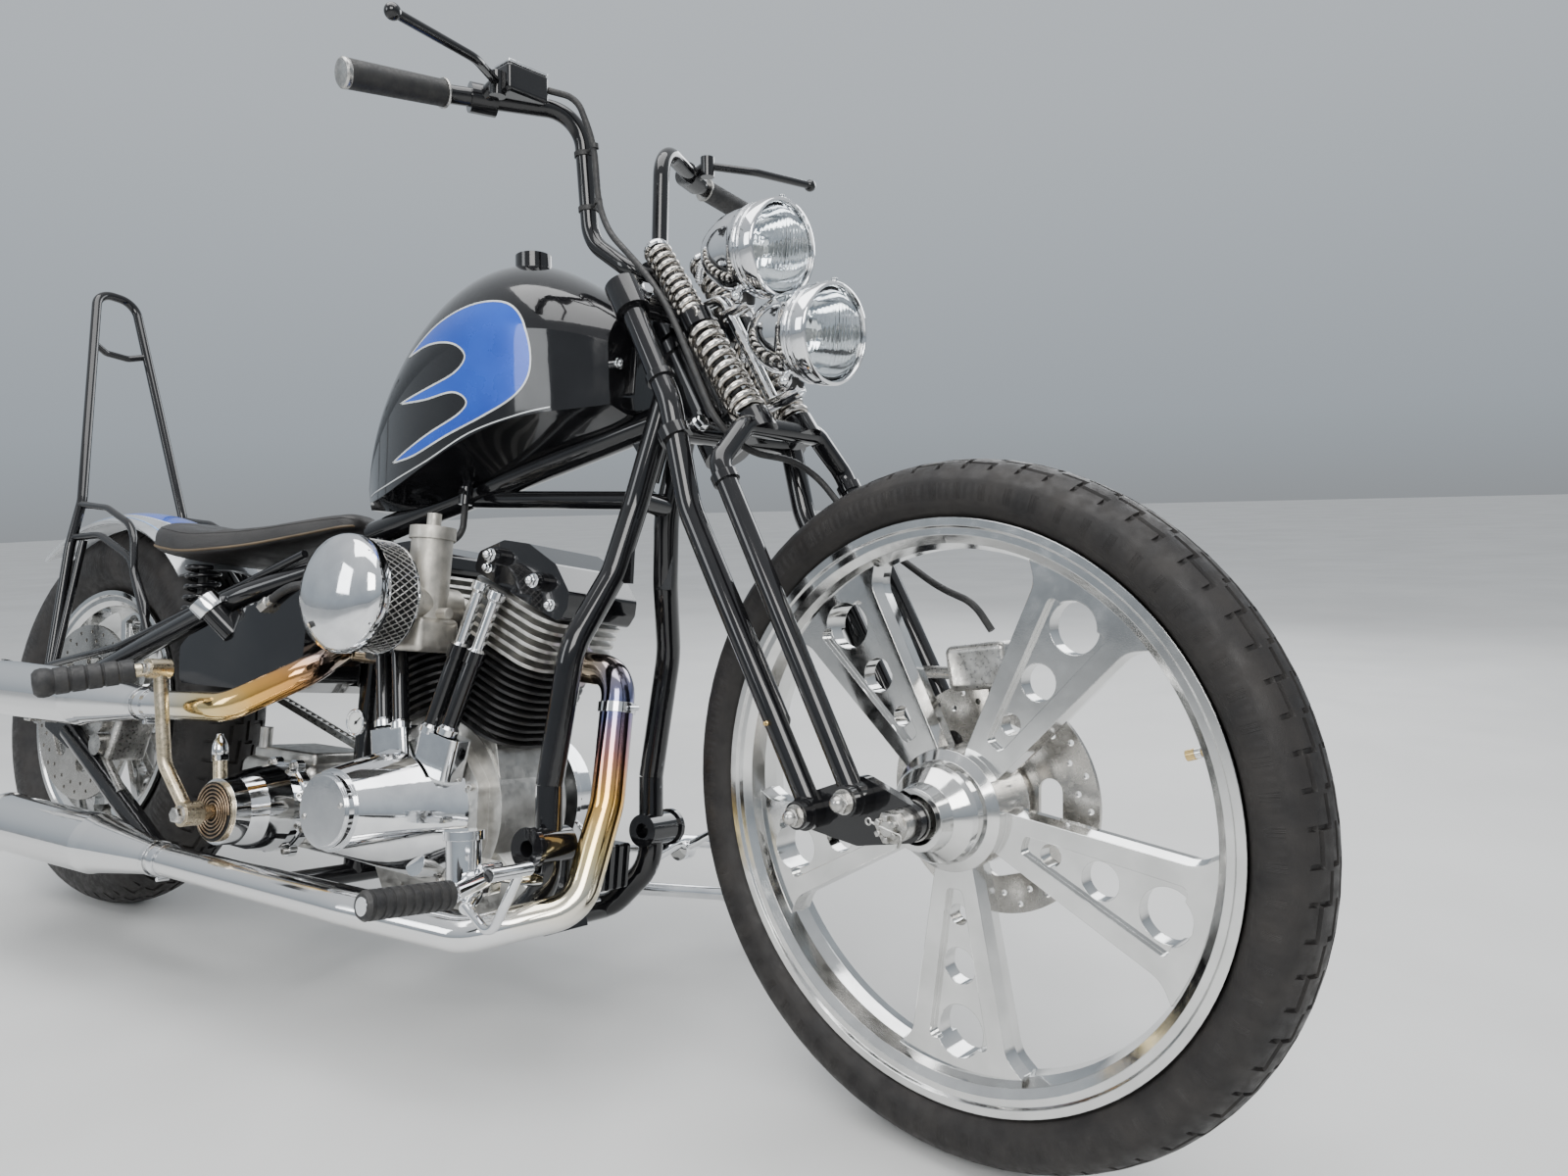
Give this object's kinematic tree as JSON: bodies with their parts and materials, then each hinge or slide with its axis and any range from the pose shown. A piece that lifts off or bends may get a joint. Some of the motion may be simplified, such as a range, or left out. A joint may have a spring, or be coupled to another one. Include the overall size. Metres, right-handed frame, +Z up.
{
  "type": "chopper motorcycle",
  "caption": "Rigid-frame chopper with a V-twin engine, springer fork, spoked billet front wheel, twin stacked headlamps, high narrow bars and a tall tank, leaning on its side stand",
  "frame": {"origin": "centre of the bottom of the bounding box, on the ground that the tyres and side stand meet", "axes": "+X forward, +Y to the left of the motorcycle, +Z up; the motorcycle leans left on its stand"},
  "size_m": [2.1997, 0.8612, 1.1879],
  "materials": {
    "polished_aluminium": "polished",
    "tyre": "matte",
    "steel": "brushed",
    "gloss_black": "gloss",
    "cast_aluminium": "satin",
    "chrome": "polished",
    "black_casting": "satin",
    "rubber": "matte",
    "tank_paint": "gloss",
    "leather": "satin",
    "lamp_glass": "gloss"
  },
  "bodies": {
    "front_wheel": {"front_wheel": "polished_aluminium", "front_tyre": "tyre", "front_brake_disc": "steel"},
    "rear_wheel": {"rear_wheel": "polished_aluminium", "rear_tyre": "tyre", "rear_brake_disc": "steel", "rear_sprocket": "steel"},
    "frame": {"frame_backbone": "gloss_black", "frame_rails": "gloss_black", "frame_crossmembers": "gloss_black", "frame_downtubes": "gloss_black", "frame_stays": "gloss_black", "rear_axle": "steel", "drive_chain": "steel", "gearbox_sprocket": "steel", "engine_crankcase": "cast_aluminium", "cam_cover": "chrome", "cylinder_barrels": "black_casting", "cylinder_heads": "cast_aluminium", "rocker_boxes": "gloss_black", "pushrod_tubes": "chrome", "lifter_blocks": "chrome", "carburettor": "cast_aluminium", "fuel_hose": "rubber", "air_cleaner": "chrome", "exhaust_front": "chrome", "exhaust_rear": "chrome", "gearbox": "cast_aluminium", "kicker_cover": "chrome", "kick_starter": "chrome", "kick_rubber": "rubber", "primary_cover": "chrome", "fuel_tank": "tank_paint", "oil_tank": "gloss_black", "seat": "leather", "seat_springs": "gloss_black", "rear_fender": "tank_paint", "sissy_bar": "gloss_black", "foot_controls_right": "chrome", "foot_controls_left": "chrome", "foot_rubbers": "rubber", "regulator": "gloss_black", "rear_brake_caliper": "steel", "stand_bracket": "gloss_black"},
    "steering": {"fork_rockers": "gloss_black", "fork_rear_legs": "gloss_black", "fork_front_legs": "gloss_black", "fork_springs": "chrome", "front_axle": "steel", "handlebar": "gloss_black", "hand_grips": "rubber", "hand_controls": "gloss_black", "headlamp_shells": "chrome", "headlamp_lenses": "lamp_glass", "headlamp_bracket": "chrome", "front_brake_caliper": "steel", "brake_hose": "rubber"},
    "side_stand": {"side_stand": "chrome"}
  },
  "joints": [
    {"name": "steering", "type": "hinge", "parent": "frame", "child": "steering", "pos_m": [0.38317, 0.03035, 0.79645], "axis": [-0.5162, 0.1649, 0.8405], "range_deg": [-15.1, 40.9]},
    {"name": "front_wheel_spin", "type": "hinge", "parent": "steering", "child": "front_wheel", "pos_m": [0.75922, -0.0775, 0.34529], "axis": [0.1912, 0.9787, -0.0746], "continuous": true},
    {"name": "rear_wheel_spin", "type": "hinge", "parent": "frame", "child": "rear_wheel", "pos_m": [-0.77591, -0.06329, 0.31916], "axis": [0, 0.9813, -0.1925], "continuous": true},
    {"name": "side_stand_fold", "type": "hinge", "parent": "frame", "child": "side_stand", "pos_m": [0.2283, 0.03492, 0.13411], "axis": [0.1128, 0.4712, 0.8748], "range_deg": [0, 100]}
  ]
}
